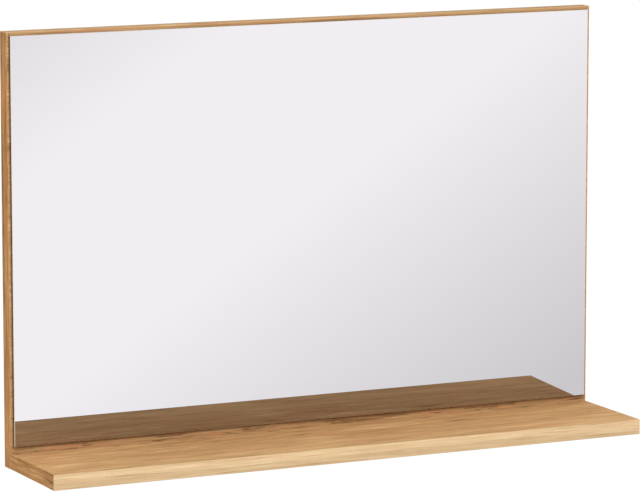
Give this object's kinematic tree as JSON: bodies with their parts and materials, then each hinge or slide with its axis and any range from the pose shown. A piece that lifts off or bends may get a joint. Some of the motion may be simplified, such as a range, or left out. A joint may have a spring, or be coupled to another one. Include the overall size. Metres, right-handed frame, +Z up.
{
  "type": "wall mirror with shelf",
  "caption": "Unframed wall mirror on an oak-laminate panel, with a shelf of the same board along its foot and keyhole hangers on the back.",
  "frame": {"origin": "on the wall, midway between the round holes of the two keyholes that take the heads of the wall screws", "axes": "+X to the right of someone looking into the mirror, +Y into the wall, +Z up; the front faces -Y"},
  "size_m": [0.75, 0.1515, 0.5],
  "materials": {
    "oak_laminate": "matt oak decor",
    "oak_edging": "matt oak decor",
    "oak_edging_front": "matt pale oak decor",
    "silvered_glass": "polished",
    "foam_tape": "foam",
    "beech": "fluted",
    "zinc_screw": "zinc plated",
    "zinc_plate": "zinc plated",
    "bumper_rubber": "soft satin"
  },
  "bodies": {
    "root": {"back_panel": "oak_laminate", "panel_edging_top": "oak_edging", "panel_edging_bottom": "oak_edging", "panel_edging_left": "oak_edging", "panel_edging_right": "oak_edging", "mirror_glass": "silvered_glass", "mirror_tape": "foam_tape", "shelf_board": "oak_laminate", "shelf_edging_front": "oak_edging_front", "shelf_edging_left": "oak_edging", "shelf_edging_right": "oak_edging", "shelf_dowels": "beech", "shelf_screws": "zinc_screw", "hanger_left": "zinc_plate", "hanger_right": "zinc_plate", "hanger_screws": "zinc_screw", "wall_bumpers": "bumper_rubber"}
  },
  "joints": []
}
